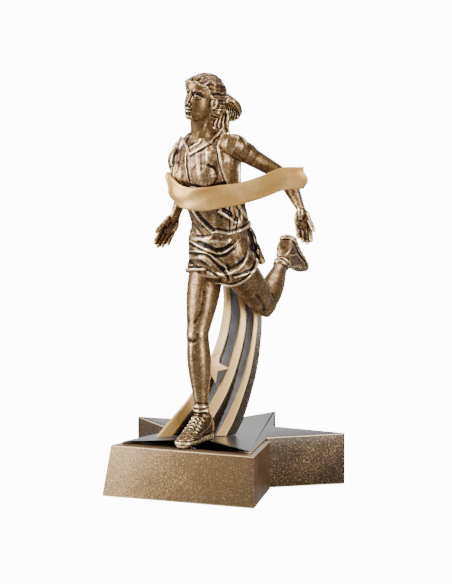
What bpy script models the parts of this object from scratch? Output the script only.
"""Running-figure trophy: a cast figure breasting a finish tape, on a star base with a fan of streamers.

Frame: +Z up, the plaque faces -Y, and the origin is the middle of the star on the pad's underside.
Lengths are written in millimetres and scaled once by MM when a mesh is made.
"""
import math

import bmesh
import bpy
from mathutils import Matrix, Vector

MM = 0.001
GAP = 0.3                     # glue-line clearance between neighbouring castings

# Base
PAD_THICKNESS = 1.2
PAD_INSET = 2.2
BASE_BOTTOM = 0.3             # the castings' rims stand this far clear of the table
BASE_TOP = 26.0
STAR_TIP_RADIUS = 59.7
STAR_NOTCH_RADIUS = 26.9
BLOCK_TOP = BASE_TOP - 1.2
BLOCK_WALL = 2.6              # wall of the plaque block beside the star's front arms
BLOCK_FRONT_TOP = -53.0
BLOCK_FRONT_BOTTOM = -61.0
EDGE_ROUND = 0.5

# Headings, as degrees turned from facing -Y; negative turns to the figure's right
CHEST_HEADING = -20.0
HIP_HEADING = -14.0
FOOT_HEADING = -4.0
CHEST_ROLL = 10.0             # the left shoulder is carried higher

# Landmarks of the pose
PELVIS = Vector((5.5, -17.3, 114.0))
WAIST = Vector((4.6, -20.4, 127.0))
CHEST = Vector((2.0, -26.4, 155.0))
NECK_BASE = Vector((2.2, -27.6, 177.5))
LEFT_SHOULDER = Vector((18.6, -33.0, 175.5))
RIGHT_SHOULDER = Vector((-11.9, -19.2, 170.5))
LEFT_ELBOW = Vector((37.8, -11.5, 157.8))
LEFT_WRIST = Vector((52.2, -25.8, 144.4))
LEFT_FINGERTIP = Vector((55.1, -27.8, 128.5))
RIGHT_ELBOW = Vector((-19.4, 1.5, 154.5))
RIGHT_WRIST = Vector((-28.1, -6.8, 130.4))
RIGHT_FINGERTIP = Vector((-30.8, -13.9, 117.6))
LEFT_HIP = Vector((14.2, -19.5, 113.0))
RIGHT_HIP = Vector((-3.2, -15.1, 113.0))
LEFT_KNEE = Vector((19.6, 3.4, 90.0))
LEFT_ANKLE = Vector((17.5, 29.8, 107.7))
RIGHT_KNEE = Vector((-3.3, -26.7, 79.2))
RIGHT_ANKLE = Vector((-0.3, -28.5, 40.5))
RIGHT_SOLE_WAY = Vector((0, 0, -1))
LEFT_SOLE_WAY = Vector((-0.06, 0.71, 0.70)).normalized()
LEFT_TOE_WAY = Vector((-0.02, 0.70, -0.71)).normalized()
SKULL_CENTRE = Vector((2.1, -32.6, 200.3))
HEAD_HEADING = -21.0
HEAD_PITCH = 12.0             # chin raised

THIGH_RADIUS = 8.0
CALF_RADIUS = 5.6
LEFT_HEM_SHARE = 0.17         # how far down each thigh the shorts reach
RIGHT_HEM_SHARE = 0.29
SHOULDER_INSET = 3.2          # the arms are glued on this far inside the shoulder joints
PIN_RADIUS = 1.0
BORE_RADIUS = PIN_RADIUS + 0.25
BOLT_RADIUS = 1.25
BOLT_HEAD_RADIUS = 2.6
BOLT_HEAD_HEIGHT = 1.8
BOLT_SEAT = 9.0               # height of the counterbores' floor
BOLT_TOP = 33.0
WASHER_RADIUS = 3.4
WASHER_HEIGHT = 0.8
COLUMN_BOLTS = (Vector((-10.0, -16.6, 0)), Vector((1.5, -9.6, 0)))
FOOT_BOLT = Vector((-0.5, -38.0, 0))
LIMB_SIDES = 16


def clear_scene():
    for obj in list(bpy.data.objects):
        bpy.data.objects.remove(obj, do_unlink=True)


def new_collection(name):
    made = bpy.data.collections.new(name)
    bpy.context.scene.collection.children.link(made)
    return made


def finish_material(name, colour, roughness, metallic):
    made = bpy.data.materials.new(name)
    made.use_nodes = True
    shader = made.node_tree.nodes["Principled BSDF"]
    shader.inputs["Base Color"].default_value = (*colour, 1.0)
    shader.inputs["Roughness"].default_value = roughness
    shader.inputs["Metallic"].default_value = metallic
    return made


def heading(degrees):
    """(left, front) unit vectors of something that faces this heading."""
    turn = math.radians(degrees)
    left = Vector((math.cos(turn), math.sin(turn), 0))
    return left, Vector((math.sin(turn), -math.cos(turn), 0))


def add_object(name, bm, finish, collection):
    """Makes the object from a bmesh in millimetres, with its faces out and round parts shaded smooth."""
    bmesh.ops.remove_doubles(bm, verts=bm.verts, dist=0.005)
    bmesh.ops.recalc_face_normals(bm, faces=bm.faces)
    bmesh.ops.scale(bm, vec=(MM, MM, MM), verts=bm.verts)
    mesh = bpy.data.meshes.new(name)
    bm.to_mesh(mesh)
    bm.free()
    mesh.shade_smooth()
    mesh.set_sharp_from_angle(angle=math.radians(40))
    mesh.materials.append(finish)
    obj = bpy.data.objects.new(name, mesh)
    collection.objects.link(obj)
    return obj


def bridge(bm, rings):
    """Joins rings of equal vertex count into a closed skin with flat ends."""
    for low, high in zip(rings, rings[1:]):
        for i in range(len(low)):
            j = (i + 1) % len(low)
            bm.faces.new((low[i], low[j], high[j], high[i]))
    bm.faces.new(list(reversed(rings[0])))
    bm.faces.new(rings[-1])


def oval(centre, side, front, half_width, half_front, half_back, sides=LIMB_SIDES):
    """Points of an oval whose front and back depths may differ."""
    points = []
    for i in range(sides):
        turn = 2 * math.pi * i / sides
        depth = half_front if math.sin(turn) > 0 else half_back
        points.append(centre + side * (half_width * math.cos(turn)) + front * (depth * math.sin(turn)))
    return points


def loft(sections):
    """A bmesh through lists of points, one list for each section."""
    bm = bmesh.new()
    bridge(bm, [[bm.verts.new(p) for p in section] for section in sections])
    return bm


def limb(stations, side):
    """A limb through (point, half width along side, half depth) stations, its ends square to its path.

    The side holds at the first station and is carried on from there without a twist.
    """
    points = [station[0] for station in stations]
    sections = []
    for i, (point, half_width, half_depth) in enumerate(stations):
        along = (points[min(i + 1, len(points) - 1)] - points[max(i - 1, 0)]).normalized()
        side = (side - along * side.dot(along)).normalized()
        sections.append(oval(point, side, along.cross(side), half_width, half_depth, half_depth))
    return loft(sections)


def cut(bm, point, outward):
    """Cuts off what lies beyond the plane and closes the cut."""
    geometry = bm.verts[:] + bm.edges[:] + bm.faces[:]
    cut_edges = bmesh.ops.bisect_plane(
        bm, geom=geometry, dist=1e-5, plane_co=point, plane_no=outward, clear_outer=True
    )["geom_cut"]
    bmesh.ops.holes_fill(bm, edges=[e for e in cut_edges if isinstance(e, bmesh.types.BMEdge)])


def rod(start, end, radius, sides=12):
    """A round bar from start to end."""
    bm = bmesh.new()
    along = end - start
    turn = along.to_track_quat("Z", "Y").to_matrix().to_4x4()
    place = Matrix.Translation((start + end) / 2) @ turn
    bmesh.ops.create_cone(
        bm, cap_ends=True, segments=sides, radius1=radius, radius2=radius, depth=along.length, matrix=place
    )
    return bm


def boolean(obj, other, operation):
    """Applies one exact Boolean to obj and removes the other object."""
    modifier = obj.modifiers.new(operation.lower(), "BOOLEAN")
    modifier.operation = operation
    modifier.solver = "EXACT"
    modifier.object = other
    graph = bpy.context.evaluated_depsgraph_get()
    made = bpy.data.meshes.new_from_object(obj.evaluated_get(graph))
    obj.modifiers.clear()
    old = obj.data
    obj.data = made
    bpy.data.meshes.remove(old)
    bpy.data.objects.remove(other, do_unlink=True)


def drill(obj, start, end, radius, sides=12):
    """Bores a round hole in obj from start to end."""
    cutter = add_object("cutter", rod(start, end, radius, sides), obj.data.materials[0], cutters)
    boolean(obj, cutter, "DIFFERENCE")


def extrude_outline(points, low, high):
    """An upright prism on an outline of (x, y) points."""
    return loft([[Vector((x, y, z)) for x, y in points] for z in (low, high)])


def star_outline(tip_radius, notch_radius, grow=0.0):
    """(x, y) corners of a five-pointed star with one tip towards +Y, grown square to its sides."""
    corners = []
    for i in range(10):
        turn = math.radians(90 + 36 * i)
        radius = notch_radius if i % 2 else tip_radius
        corners.append(Vector((radius * math.cos(turn), radius * math.sin(turn))))
    return grown(corners, grow)


def grown(corners, grow):
    """An anticlockwise outline moved outwards by grow, with its corners kept sharp."""
    moved = []
    for i, corner in enumerate(corners):
        before = (corner - corners[i - 1]).normalized()
        after = (corners[(i + 1) % len(corners)] - corner).normalized()
        normal_before = Vector((before.y, -before.x))
        normal_after = Vector((after.y, -after.x))
        middle = (normal_before + normal_after).normalized()
        moved.append(corner + middle * (grow / middle.dot(normal_after)))
    return moved


def star_base():
    """The solid star casting, with counterbores under it for the column's bolt and a clearance hole."""
    outline = star_outline(STAR_TIP_RADIUS, STAR_NOTCH_RADIUS)
    obj = add_object("star_base", extrude_outline(outline, BASE_BOTTOM, BASE_TOP), dark_bronze, trophy)
    soften(obj)
    for spot in COLUMN_BOLTS:
        bore_for_bolt(obj, spot)
    return obj


def soften(obj):
    """Rounds an object's edges with an applied Bevel."""
    modifier = obj.modifiers.new("round", "BEVEL")
    modifier.width = EDGE_ROUND * MM
    modifier.segments = 2
    modifier.limit_method = "ANGLE"
    modifier.angle_limit = math.radians(30)
    graph = bpy.context.evaluated_depsgraph_get()
    made = bpy.data.meshes.new_from_object(obj.evaluated_get(graph))
    obj.modifiers.clear()
    obj.data = made


def bore_for_bolt(obj, spot):
    """A clearance hole up through the base and a counterbore for the bolt's head and washer."""
    drill(obj, spot + Vector((0, 0, -1)), spot + Vector((0, 0, 40)), BOLT_RADIUS + 0.3)
    drill(obj, spot + Vector((0, 0, -1)), spot + Vector((0, 0, BOLT_SEAT)), WASHER_RADIUS + 0.6, 20)


def block_outline(front):
    """The plaque block's outline, its sides standing BLOCK_WALL outside the star's front arms."""
    sides = star_outline(STAR_TIP_RADIUS, STAR_NOTCH_RADIUS, BLOCK_WALL)
    notch, tip = sides[7], sides[6]
    slope = (tip.x - notch.x) / (tip.y - notch.y)
    front_x = notch.x + slope * (front - notch.y)
    back_y = notch.y - 1.6
    back_x = notch.x + slope * (back_y - notch.y)
    return [(-front_x, front), (front_x, front), (back_x, back_y), (-back_x, back_y)]


def plaque_block():
    """The wedge with the leaning plaque face; the star's two front arms are let into it."""
    low = [Vector((x, y, BASE_BOTTOM)) for x, y in block_outline(BLOCK_FRONT_BOTTOM)]
    high = [Vector((x, y, BLOCK_TOP)) for x, y in block_outline(BLOCK_FRONT_TOP)]
    obj = add_object("plaque_block", loft([low, high]), bronze, trophy)
    soften(obj)
    outline = star_outline(STAR_TIP_RADIUS, STAR_NOTCH_RADIUS, GAP)
    cutter = add_object("cutter", extrude_outline(outline, -5, 60), bronze, cutters)
    boolean(obj, cutter, "DIFFERENCE")
    bore_for_bolt(obj, FOOT_BOLT)
    return obj


def pad_shape(name, grow, low, high, collection):
    """The pad's outline, grown, as a prism: the star and the block together, inside their own outline."""
    star = star_outline(STAR_TIP_RADIUS, STAR_NOTCH_RADIUS, grow - PAD_INSET)
    obj = add_object(name, extrude_outline(star, low, high), felt, collection)
    block = grown([Vector(p) for p in block_outline(BLOCK_FRONT_BOTTOM)], grow - PAD_INSET)
    other = add_object("cutter", extrude_outline(block, low, high), felt, cutters)
    boolean(obj, other, "UNION")
    return obj


def felt_pad():
    """The pad, and the recess for it under both castings of the base."""
    pad_shape("felt_pad", 0.0, 0.0, PAD_THICKNESS, trophy)
    for casting in ("star_base", "plaque_block"):
        recess = pad_shape("cutter", GAP, -1.0, PAD_THICKNESS + GAP, cutters)
        boolean(bpy.data.objects[casting], recess, "DIFFERENCE")


def bolt(name, spot):
    """A pan-head bolt and its washer, seated in a counterbore."""
    washer_low = BOLT_SEAT - GAP - WASHER_HEIGHT
    head_top = washer_low - GAP
    head_foot = spot + Vector((0, 0, head_top - BOLT_HEAD_HEIGHT))
    bm = rod(head_foot, spot + Vector((0, 0, head_top)), BOLT_HEAD_RADIUS, 16)
    obj = add_object(name, bm, steel, trophy)
    shank = rod(spot + Vector((0, 0, head_top - 1)), spot + Vector((0, 0, BOLT_TOP)), BOLT_RADIUS)
    boolean(obj, add_object("cutter", shank, steel, cutters), "UNION")
    washer_foot = spot + Vector((0, 0, washer_low))
    washer = rod(washer_foot, spot + Vector((0, 0, BOLT_SEAT - GAP)), WASHER_RADIUS, 20)
    ring = add_object(name + "_washer", washer, steel, trophy)
    drill(ring, spot, spot + Vector((0, 0, BOLT_TOP)), BOLT_RADIUS + 0.3)


# Streamer column, a swept fan: from the foot up, its height and the plan places of its two edges
FAN_ROWS = (
    (BASE_TOP + GAP, (-24.1, -29.9), (9.7, -9.3)),
    (34, (-19.1, -25.1), (12.4, -5.9)),
    (45, (-11.7, -18.5), (14.5, -1.7)),
    (58, (-5.9, -12.5), (15.9, 3.4)),
    (72, (-1.5, -7.3), (16.0, 7.8)),
    (84, (0.3, -4.3), (15.1, 10.8)),
    (92, (0.8, -3.6), (12.3, 9.3)),
    (99, (1.3, -4.5), (10.3, 5.2)),
    (106, (2.2, -7.2), (12.3, 0.6)),
    (113, (4.5, -10.0), (14.0, -3.0)),
)
BAND_ROWS = 7                 # the bands stop where the figure hides them
FAN_THICKNESS = 7.5
FAN_BACK_INSET = 0.1          # share of the width by which the back is narrower on each side
BAND_RAISE = 1.8
BAND_SPANS = {"band_left": (0.0, 0.175), "band_centre": (0.385, 0.55), "band_right": (0.735, 0.855)}
ACCENT_CENTRE = Vector((-3.9, -14.9, 58.5))
ACCENT_TIP_RADIUS = 8.0
ACCENT_THICKNESS = 1.6


def fan_edges(share):
    """The fan's centre line at this share of its width, from the foot up."""
    line = []
    for height, left, right in FAN_ROWS:
        left, right = Vector((*left, height)), Vector((*right, height))
        line.append(left.lerp(right, share))
    return line


def fan_normal(row):
    """The way the fan's face looks at a row, level with the ground."""
    height, left, right = FAN_ROWS[row]
    across = Vector(right) - Vector(left)
    return Vector((across.y, -across.x, 0)).normalized()


def fan_strip(start, end, front, back, rows=len(FAN_ROWS), inset=0.0, lift=0.0):
    """A strip of the fan between two shares of its width; front and back are distances from its face.

    The back is inset by a share of the width, and the top is lifted, where asked.
    """
    sections = []
    left, right = fan_edges(start), fan_edges(end)
    back_left, back_right = fan_edges(start + inset), fan_edges(end - inset)
    for row in range(rows):
        out = fan_normal(row)
        sections.append([
            left[row] + out * front, right[row] + out * front,
            back_right[row] + out * back, back_left[row] + out * back,
        ])
    sections[-1] = [point + Vector((0, 0, lift)) for point in sections[-1]]
    return loft(sections)


def streamer_column():
    """The dark bed of the streamers, bored for its two bolts; its top is let into the back of the shorts."""
    obj = add_object(
        "streamer_column", fan_strip(0.0, 1.0, 0.0, -FAN_THICKNESS, inset=FAN_BACK_INSET), dark_bronze, trophy
    )
    for spot in COLUMN_BOLTS:
        drill(obj, spot, spot + Vector((0, 0, BOLT_TOP + GAP)), BOLT_RADIUS + 0.3)
    seat = fan_strip(-0.03, 1.03, GAP, -3 * FAN_THICKNESS, lift=GAP)
    cutter = add_object("cutter", seat, dark_bronze, cutters)
    boolean(bpy.data.objects["shorts"], cutter, "DIFFERENCE")
    return obj


def streamer_bands():
    for name, (start, end) in BAND_SPANS.items():
        add_object(name, fan_strip(start, end, GAP + BAND_RAISE, GAP, BAND_ROWS), gold, trophy)


def accent_star():
    """The small star that lies on the left band, one tip pointing across the fan."""
    out = fan_normal(3)
    across = Vector((-out.y, out.x, 0))
    up = Vector((0, 0, 1))
    centre = ACCENT_CENTRE + out * (BAND_RAISE + 1.0)
    sections = []
    for height in (0.0, ACCENT_THICKNESS):
        ring = []
        for corner in star_outline(ACCENT_TIP_RADIUS, 0.4 * ACCENT_TIP_RADIUS):
            ring.append(centre + across * corner.y - up * corner.x + out * height)
        sections.append(ring)
    add_object("accent_star", loft(sections), gold, trophy)


def chest_axes(roll=CHEST_ROLL):
    left, front = heading(CHEST_HEADING)
    tilt = Matrix.Rotation(math.radians(-roll), 3, -front)
    return tilt @ left, front


def torso():
    """The singlet-clad upper body, cut flat at the neck, the waist and both shoulders."""
    left, front = chest_axes()
    hip_left, hip_front = heading(HIP_HEADING)
    rows = (
        (WAIST + Vector((0, 0, GAP / 2)), 15.0, 11.5, 11.0, hip_left, hip_front),
        (Vector((4.1, -21.8, 134)), 15.2, 11.6, 11.4, hip_left, hip_front),
        (Vector((3.2, -23.8, 143)), 16.0, 12.0, 12.0, left, front),
        (Vector((2.3, -25.6, 151)), 17.0, 13.2, 13.0, left, front),
        (CHEST + Vector((0, 0, 3)), 17.8, 14.2, 13.4, left, front),
        (Vector((2.0, -26.8, 165)), 17.8, 12.8, 12.8, left, front),
        (Vector((2.0, -27.0, 171)), 16.6, 9.6, 10.0, left, front),
        (Vector((2.1, -27.4, 175)), 12.6, 7.6, 8.0, left, front),
        (NECK_BASE - Vector((0, 0, GAP / 2)), 6.6, 6.0, 6.4, *heading(CHEST_HEADING)),
    )
    sections = [oval(c, s, f, w, df, db, 24) for c, w, df, db, s, f in rows]
    bm = loft(sections)
    cut(bm, LEFT_SHOULDER - left * (SHOULDER_INSET + GAP / 2), left)
    cut(bm, RIGHT_SHOULDER + left * (SHOULDER_INSET + GAP / 2), -left)
    return add_object("torso", bm, bronze, trophy)


def shorts():
    """The hips in loose shorts: a pelvis and two short flared legs, cut flat at the waist and at each hem."""
    left, front = heading(HIP_HEADING)
    rows = (
        (Vector((6.2, -16.6, 105)), 6.0, 8.0, 9.0),
        (Vector((6.0, -16.8, 108)), 16.0, 12.0, 13.5),
        (PELVIS - Vector((0, 0, 1)), 18.6, 12.4, 13.6),
        (Vector((5.0, -19.0, 120)), 16.8, 11.8, 12.4),
        (WAIST - Vector((0, 0, GAP / 2)), 15.0, 11.5, 11.5),
    )
    bm = loft([oval(c, left, front, w, df, db, 20) for c, w, df, db in rows])
    obj = add_object("shorts", bm, bronze, trophy)
    legs = ((LEFT_HIP, LEFT_KNEE, LEFT_HEM_SHARE, 11.4), (RIGHT_HIP, RIGHT_KNEE, RIGHT_HEM_SHARE, 9.6))
    for hip, knee, share, radius in legs:
        hem = hip.lerp(knee, share)
        stations = ((hip.lerp(knee, -0.05), radius - 1.5, radius), (hem, radius, radius + 0.6))
        leg = add_object("cutter", limb(stations, left), bronze, cutters)
        boolean(obj, leg, "UNION")
    for hip, knee, share, _ in legs:
        drill(obj, hip.lerp(knee, share + 0.004), hip.lerp(knee, 0.9), THIGH_RADIUS + 2 * GAP, 24)
    return obj


def leg(name, hip, knee, ankle, hem_share, sole_way, side):
    """A bare leg from just below the hem to the top of the shoe, cut level with the shoe's collar."""
    thigh, calf = THIGH_RADIUS, CALF_RADIUS
    start = hip.lerp(knee, hem_share + GAP / (knee - hip).length)
    stations = (
        (start, thigh, thigh),
        (hip.lerp(knee, 0.62), thigh * 0.86, thigh * 0.88),
        (hip.lerp(knee, 0.86), thigh * 0.66, thigh * 0.68),
        (knee, thigh * 0.62, thigh * 0.68),
        (knee.lerp(ankle, 0.12), calf * 0.92, calf * 1.05),
        (knee.lerp(ankle, 0.34), calf, calf * 1.12),
        (knee.lerp(ankle, 0.62), calf * 0.78, calf * 0.86),
        (knee.lerp(ankle, 0.86), calf * 0.58, calf * 0.62),
        (ankle, calf * 0.62, calf * 0.66),
        (ankle.lerp(knee, -0.06), calf * 0.62, calf * 0.66),
    )
    bm = limb(stations, side)
    cut(bm, ankle, sole_way)
    return add_object(name, bm, bronze, trophy)


# Shoe sections from heel to toe: how far ahead of the ankle, half width, and the drops to top and sole
SHOE_ROWS = (
    (-7.6, 3.0, 6.0, 12.8), (-6.2, 4.6, 1.5, 13.9), (-3.2, 5.2, 0.0, 14.2), (4.5, 5.2, 0.0, 14.2),
    (8.0, 5.2, 4.2, 14.2), (13.0, 5.5, 7.2, 15.0), (18.5, 5.4, 9.2, 15.4), (22.3, 3.6, 10.8, 14.8)
)


def shoe(name, ankle, toe_way, sole_way):
    """A running shoe below its ankle: a heel, an instep that slopes to the toe box, and a sole."""
    side = toe_way.cross(sole_way).normalized()
    top = ankle + sole_way * GAP
    sections = []
    for along, half_width, high, low in SHOE_ROWS:
        middle = top + toe_way * along + sole_way * (high + low) / 2
        sections.append(oval(middle, side, sole_way, half_width, (low - high) / 2, (low - high) / 2, 16))
    return add_object(name, loft(sections), bronze, trophy)


def arm(name, shoulder, elbow, wrist, fingertip, inward, palm_side):
    """An arm and its open hand, lofted from the fingertips up and cut flat where it meets the torso."""
    stations = (
        (fingertip, 2.4, 1.3),
        (wrist.lerp(fingertip, 0.74), 4.2, 1.9),
        (wrist.lerp(fingertip, 0.42), 4.6, 2.1),
        (wrist, 2.9, 2.4),
        (elbow.lerp(wrist, 0.66), 3.2, 3.2),
        (elbow.lerp(wrist, 0.28), 4.2, 4.2),
        (elbow, 4.0, 4.1),
        (shoulder.lerp(elbow, 0.62), 4.1, 4.3),
        (shoulder.lerp(elbow, 0.28), 4.9, 5.2),
        (shoulder - inward * 1.6, 5.9, 5.9),
        (shoulder + inward * (SHOULDER_INSET + 1.0), 6.6, 6.2),
    )
    bm = limb(stations, palm_side)
    cut(bm, shoulder + inward * (SHOULDER_INSET - GAP / 2), inward)
    return add_object(name, bm, bronze, trophy)


def head_axes():
    """(left, front, up) of the head."""
    left, front = heading(HEAD_HEADING)
    tilt = Matrix.Rotation(math.radians(-HEAD_PITCH), 3, left)
    return left, tilt @ front, tilt @ Vector((0, 0, 1))


def head():
    """The head with its neck and swept-back hair cap."""
    left, front, up = head_axes()
    flat_left, flat_front = heading(HEAD_HEADING)
    rows = [(NECK_BASE + Vector((0, 0, GAP / 2)), 5.6, 5.2, 5.6, flat_left, flat_front)]
    rows.append((NECK_BASE + Vector((-0.2, -1.2, 5.5)), 4.7, 4.6, 5.0, flat_left, flat_front))
    for rise, ahead, width, depth_front, depth_back in (
        (-10.6, 0.6, 4.9, 6.6, 6.6), (-8.0, 0.6, 6.0, 8.4, 8.0), (-4.0, 0.2, 7.0, 8.6, 9.6),
        (0.0, -0.4, 7.6, 8.8, 10.2), (4.0, -0.6, 7.8, 8.6, 10.2), (7.6, -0.9, 6.9, 7.0, 9.0),
        (10.0, -1.0, 4.8, 4.4, 6.4), (11.2, -1.0, 2.2, 2.0, 3.0),
    ):
        rows.append((SKULL_CENTRE + up * rise + front * ahead, width, depth_front, depth_back, left, front))
    bm = loft([oval(c, s, f, w, df, db, 20) for c, w, df, db, s, f in rows])
    return add_object("head", bm, bronze, trophy)


def ponytail():
    """The gathered hair that streams from the back of the head."""
    left, front, up = head_axes()
    tie = SKULL_CENTRE - front * (10.8 + GAP) - up * 2.5
    stations = (
        (tie, 3.0, 3.4),
        (tie - front * 3.0 - up * 0.8, 4.4, 5.4),
        (tie - front * 6.6 - up * 3.0, 5.0, 6.0),
        (tie - front * 8.8 - up * 7.0, 4.6, 4.6),
        (tie - front * 8.4 - up * 11.5, 3.4, 3.0),
        (tie - front * 6.4 - up * 15.5, 1.6, 1.4),
    )
    return add_object("ponytail", limb(stations, left), bronze, trophy)


# Finish tape: its height, its thickness and its centre line, from the figure's right round to its left
TAPE_HEIGHT = 11.6
TAPE_THICKNESS = 1.2
TAPE_LINE = (
    (-16.4, -33.7, 155.0),
    (-12.5, -37.5, 152.8),
    (-6.9, -40.4, 149.6),
    (-0.0, -42.3, 148.9),
    (7.3, -41.7, 149.3),
    (14.5, -39.5, 150.6),
    (23.4, -35.0, 152.1),
    (33.3, -30.5, 155.4),
    (42.6, -26.9, 159.3),
    (53.4, -23.1, 160.0),
)


def finish_tape():
    """The tape as a thin strip standing on edge round the chest."""
    points = [Vector(p) for p in TAPE_LINE]
    sections = []
    for i, point in enumerate(points):
        along = points[min(i + 1, len(points) - 1)] - points[max(i - 1, 0)]
        out = Vector((along.y, -along.x, 0)).normalized() * (TAPE_THICKNESS / 2)
        rise = Vector((0, 0, TAPE_HEIGHT / 2))
        sections.append([point + out - rise, point + out + rise, point - out + rise, point - out - rise])
    return add_object("finish_tape", loft(sections), gold, trophy)


def dowel(name, start, end, hosts):
    """A steel pin across a glue line, with a blind bore for it in each casting it joins."""
    along = (end - start).normalized()
    for host in hosts:
        drill(bpy.data.objects[host], start - along * GAP, end + along * GAP, BORE_RADIUS)
    add_object(name, rod(start, end, PIN_RADIUS), steel, trophy)


def pin_down(hip, knee):
    """The ends of a hip pin, along the thigh."""
    return hip.lerp(knee, 0.12), hip.lerp(knee, 0.58)


def dowels():
    left, _ = chest_axes()
    up = Vector((0, 0, 1))
    left_shin = (LEFT_ANKLE - LEFT_KNEE).normalized()
    right_shin = (RIGHT_ANKLE - RIGHT_KNEE).normalized()
    for name, start, end, hosts in (
        ("neck_pin", NECK_BASE - up * 8, NECK_BASE + up * 8, ("torso", "head")),
        ("waist_pin", WAIST - up * 9, WAIST + up * 9, ("torso", "shorts")),
        ("left_shoulder_pin", LEFT_SHOULDER - left * 9, LEFT_SHOULDER + left * 1.5, ("torso", "left_arm")),
        ("right_shoulder_pin", RIGHT_SHOULDER + left * 9, RIGHT_SHOULDER - left * 1.5,
         ("torso", "right_arm")),
        ("left_hip_pin", *pin_down(LEFT_HIP, LEFT_KNEE), ("shorts", "left_leg")),
        ("right_hip_pin", *pin_down(RIGHT_HIP, RIGHT_KNEE), ("shorts", "right_leg")),
        ("left_ankle_pin", LEFT_ANKLE - left_shin * 6, LEFT_ANKLE + left_shin * 6, ("left_leg", "left_shoe")),
        ("right_ankle_pin", RIGHT_ANKLE - right_shin * 7, RIGHT_ANKLE + right_shin * 5,
         ("right_leg", "right_shoe")),
    ):
        dowel(name, start, end, hosts)


clear_scene()
trophy = new_collection("figure_trophy")
cutters = new_collection("cutters")
bronze = finish_material("antique_bronze", (0.30, 0.20, 0.10), 0.42, 0.75)
dark_bronze = finish_material("dark_bronze", (0.12, 0.085, 0.055), 0.35, 0.6)
gold = finish_material("satin_gold", (0.72, 0.50, 0.24), 0.38, 0.85)
felt = finish_material("black_felt", (0.02, 0.02, 0.02), 0.95, 0.0)
steel = finish_material("steel", (0.55, 0.55, 0.57), 0.35, 1.0)

star_base()
plaque_block()
felt_pad()
torso()
shorts()
streamer_column()
streamer_bands()
accent_star()
head()
ponytail()
chest_left, _ = chest_axes()
hip_left, _ = heading(HIP_HEADING)
palm_side = Vector((0.91, 0.41, 0))
arm("left_arm", LEFT_SHOULDER, LEFT_ELBOW, LEFT_WRIST, LEFT_FINGERTIP, -chest_left, palm_side)
arm("right_arm", RIGHT_SHOULDER, RIGHT_ELBOW, RIGHT_WRIST, RIGHT_FINGERTIP, chest_left, palm_side)
leg("left_leg", LEFT_HIP, LEFT_KNEE, LEFT_ANKLE, LEFT_HEM_SHARE, LEFT_SOLE_WAY, hip_left)
leg("right_leg", RIGHT_HIP, RIGHT_KNEE, RIGHT_ANKLE, RIGHT_HEM_SHARE, RIGHT_SOLE_WAY, hip_left)
foot_left, foot_front = heading(FOOT_HEADING)
shoe("right_shoe", RIGHT_ANKLE, foot_front, RIGHT_SOLE_WAY)
shoe("left_shoe", LEFT_ANKLE + 2.5 * LEFT_TOE_WAY, LEFT_TOE_WAY, LEFT_SOLE_WAY)
finish_tape()
dowels()
foot_bore_top = FOOT_BOLT + Vector((0, 0, BOLT_TOP + GAP))
drill(bpy.data.objects["right_shoe"], FOOT_BOLT, foot_bore_top, BOLT_RADIUS + 0.3)
bolt("left_column_bolt", COLUMN_BOLTS[0])
bolt("right_column_bolt", COLUMN_BOLTS[1])
bolt("foot_bolt", FOOT_BOLT)
bpy.data.collections.remove(cutters)
